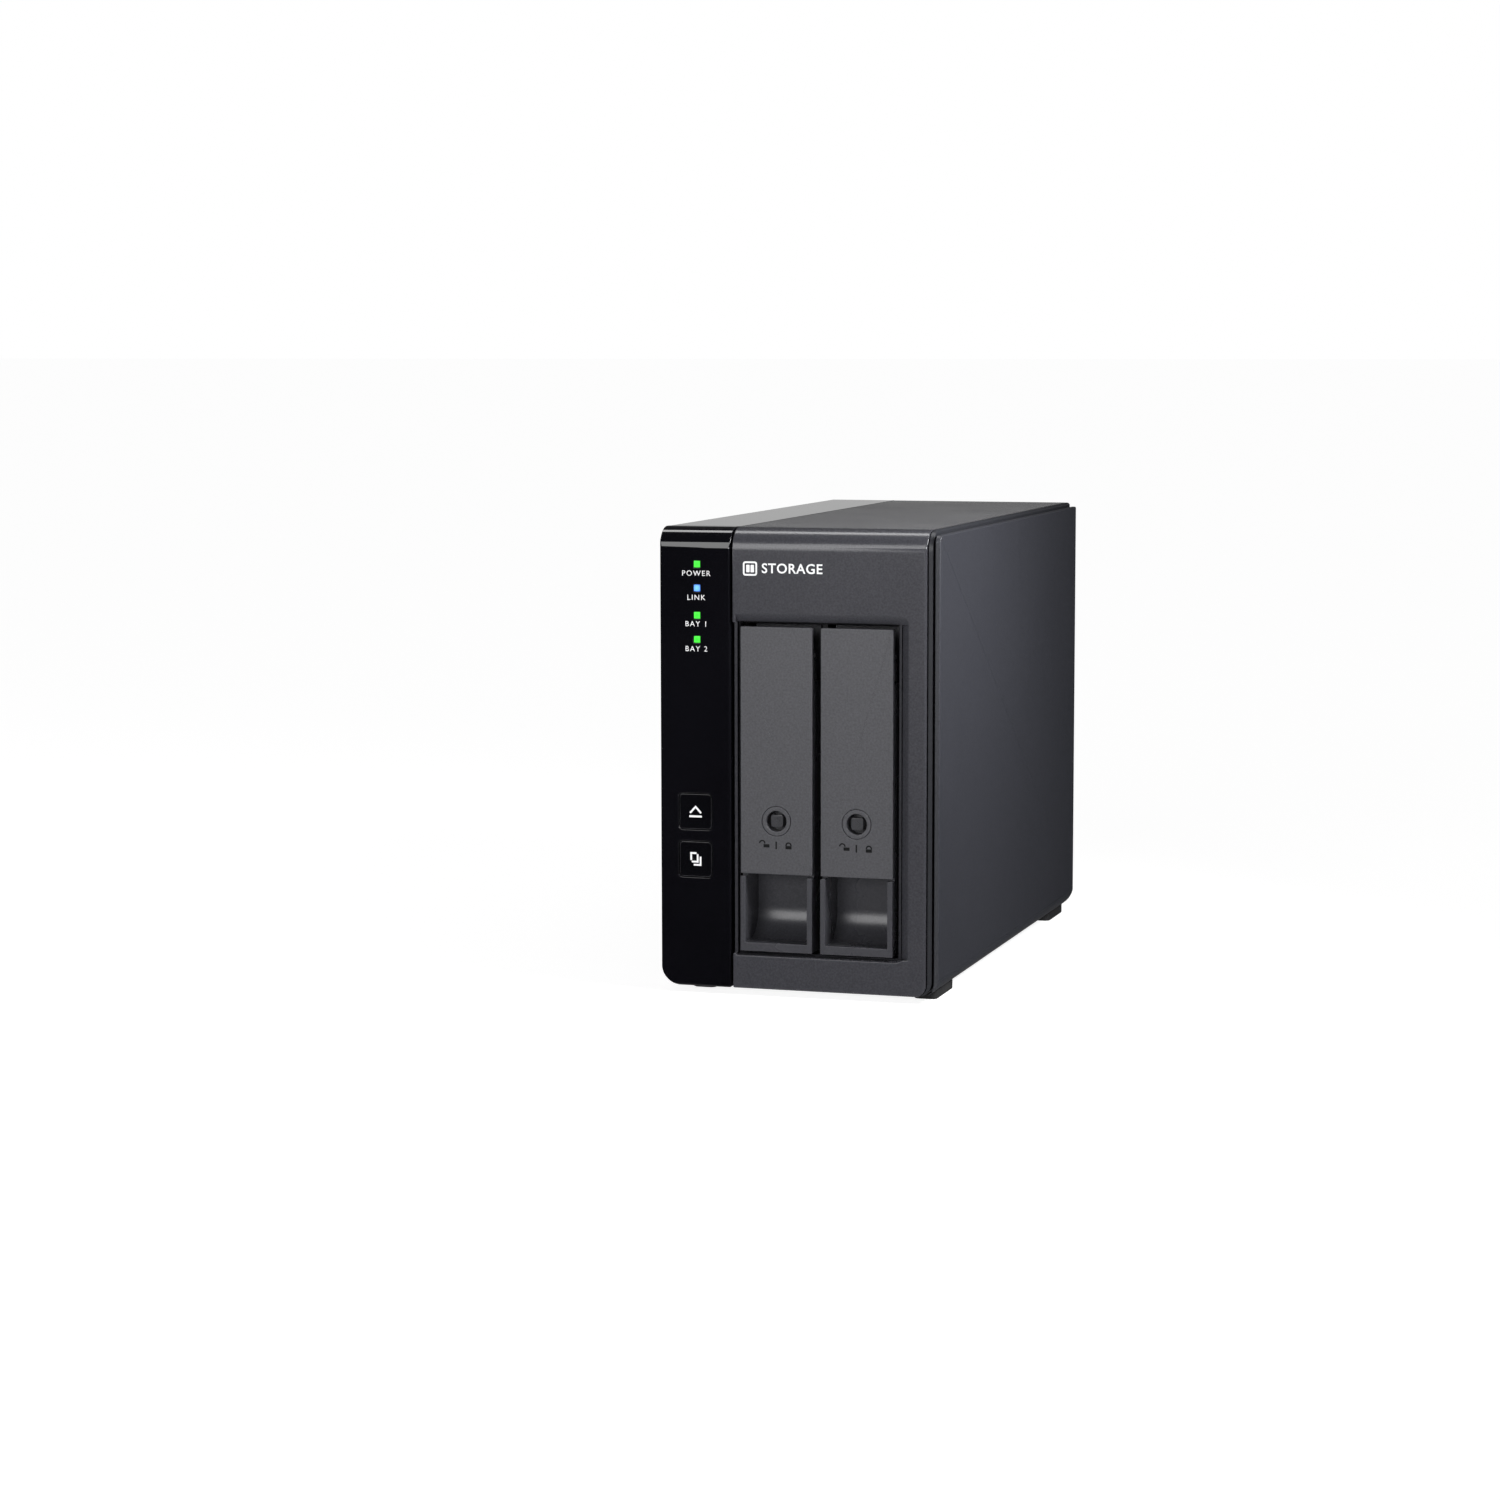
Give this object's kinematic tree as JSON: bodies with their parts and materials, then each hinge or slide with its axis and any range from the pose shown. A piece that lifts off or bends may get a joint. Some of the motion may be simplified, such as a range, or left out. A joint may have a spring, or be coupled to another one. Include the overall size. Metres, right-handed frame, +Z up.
{
  "type": "two-bay desktop storage enclosure",
  "caption": "Upright desktop drive enclosure: glossy control strip with lamps and buttons beside lockable pull-out drive trays, rear fan and ports.",
  "frame": {"origin": "middle of the footprint, on the surface that the feet stand on", "axes": "+Z up; the front with the trays faces -Y; +X is to the right seen from the front"},
  "size_m": [0.102, 0.219, 0.1655],
  "materials": {
    "bezel_matte": "satin moulded plastic with a fine grain, dark blue-grey",
    "side_matte": "satin moulded plastic with a fine grain, dark blue-grey",
    "rim_matte": "satin moulded plastic",
    "gloss_black": "polished black",
    "base_matte": "fine grain",
    "rubber": "matt black",
    "painted_steel": "black powder coat",
    "steel": "zinc-plated sheet",
    "guide_plastic": "black moulded plastic",
    "lamp_green": "translucent lens, lit green",
    "lamp_blue": "translucent lens, lit blue",
    "emitter": "ivory",
    "button_gloss": "polished black",
    "switch_body": "black",
    "board_green": "green solder mask",
    "heatsink_alu": "extruded aluminium",
    "port_metal": "nickel-plated shell",
    "button_matte": "black",
    "switch_blue": "blue housing",
    "switch_white": "white",
    "lead": "red PVC sleeve",
    "screw_black": "black zinc",
    "screw_steel": "nickel plated",
    "tray_plastic": "black moulded plastic with a fine grain",
    "handle_grey": "grained grey plastic, lighter than the bezel",
    "lock_black": "black",
    "strip_plastic": "blue plastic",
    "drive_metal": "cast aluminium"
  },
  "bodies": {
    "enclosure": {"front_bezel": "bezel_matte", "gloss_panel": "gloss_black", "top_cover": "bezel_matte", "top_gloss_strip": "gloss_black", "right_frame": "rim_matte", "right_side_cover": "side_matte", "left_side_cover": "side_matte", "base_plate": "base_matte", "rubber_feet": "rubber", "rear_panel": "painted_steel", "drive_cage": "steel", "lower_guide": "guide_plastic", "upper_guide": "guide_plastic", "status_lamp": "lamp_green", "link_lamp": "lamp_blue", "drive_lamp_1": "lamp_green", "drive_lamp_2": "lamp_green", "lamp_emitters": "emitter", "button_switches": "switch_body", "front_board": "board_green", "front_ribbon": "emitter", "ribbon_connectors": "emitter", "main_board": "board_green", "controller_chip": "switch_body", "heatsink": "heatsink_alu", "backplane_board": "board_green", "sata_connectors": "guide_plastic", "usb_port": "port_metal", "dc_inlet": "guide_plastic", "power_switch": "switch_body", "mode_switch_bank": "switch_blue", "fan_frame": "guide_plastic", "fan_lead": "lead", "fan_screws": "screw_black", "rear_screws": "screw_black", "cage_screws": "screw_steel", "board_screws": "screw_steel"},
    "eject_button": {"eject_button": "button_gloss"},
    "set_button": {"set_button": "button_gloss"},
    "power_button": {"power_button": "button_matte"},
    "mode_slider_1": {"mode_slider_1": "switch_white"},
    "mode_slider_2": {"mode_slider_2": "switch_white"},
    "mode_slider_3": {"mode_slider_3": "switch_white"},
    "fan_rotor": {"fan_rotor": "guide_plastic"},
    "tray_1": {"tray_body_1": "tray_plastic", "handle_pin_1": "screw_steel", "drive_strips_1": "strip_plastic", "hard_drive_1": "drive_metal"},
    "handle_1": {"handle_plate_1": "handle_grey", "lock_ring_1": "handle_grey"},
    "lock_1": {"lock_core_1": "lock_black"},
    "tray_2": {"tray_body_2": "tray_plastic", "handle_pin_2": "screw_steel", "drive_strips_2": "strip_plastic", "hard_drive_2": "drive_metal"},
    "handle_2": {"handle_plate_2": "handle_grey", "lock_ring_2": "handle_grey"},
    "lock_2": {"lock_core_2": "lock_black"}
  },
  "joints": [
    {"name": "tray_1_slide", "type": "slide", "parent": "enclosure", "child": "tray_1", "axis": [0, -1, 0], "range_m": [0, 0.17]},
    {"name": "handle_1_hinge", "type": "hinge", "parent": "tray_1", "child": "handle_1", "pos_m": [-0.0084, -0.1036, 0.121], "axis": [-1, 0, 0], "range_deg": [0, 55]},
    {"name": "lock_1_turn", "type": "hinge", "parent": "handle_1", "child": "lock_1", "pos_m": [-0.0084, -0.1, 0.0625], "axis": [0, 1, 0], "range_deg": [0, 90]},
    {"name": "tray_2_slide", "type": "slide", "parent": "enclosure", "child": "tray_2", "axis": [0, -1, 0], "range_m": [0, 0.17]},
    {"name": "handle_2_hinge", "type": "hinge", "parent": "tray_2", "child": "handle_2", "pos_m": [0.0209, -0.1036, 0.121], "axis": [-1, 0, 0], "range_deg": [0, 55]},
    {"name": "lock_2_turn", "type": "hinge", "parent": "handle_2", "child": "lock_2", "pos_m": [0.0209, -0.1, 0.0625], "axis": [0, 1, 0], "range_deg": [0, 90]},
    {"name": "eject_press", "type": "slide", "parent": "enclosure", "child": "eject_button", "axis": [0, 1, 0], "range_m": [0, 0.0006], "stiffness_N_per_m": 2500, "springref_m": -0.0002},
    {"name": "set_press", "type": "slide", "parent": "enclosure", "child": "set_button", "axis": [0, 1, 0], "range_m": [0, 0.0006], "stiffness_N_per_m": 2500, "springref_m": -0.0002},
    {"name": "power_press", "type": "slide", "parent": "enclosure", "child": "power_button", "axis": [0, -1, 0], "range_m": [0, 0.0008], "stiffness_N_per_m": 2500, "springref_m": -0.0002},
    {"name": "mode_1_slide", "type": "slide", "parent": "enclosure", "child": "mode_slider_1", "axis": [1, 0, 0], "range_m": [0, 0.0015]},
    {"name": "mode_2_slide", "type": "slide", "parent": "enclosure", "child": "mode_slider_2", "axis": [1, 0, 0], "range_m": [0, 0.0015]},
    {"name": "mode_3_slide", "type": "slide", "parent": "enclosure", "child": "mode_slider_3", "axis": [1, 0, 0], "range_m": [0, 0.0015]},
    {"name": "fan_spin", "type": "hinge", "parent": "enclosure", "child": "fan_rotor", "pos_m": [0.0095, 0.1, 0.096], "axis": [0, 1, 0], "continuous": true}
  ]
}
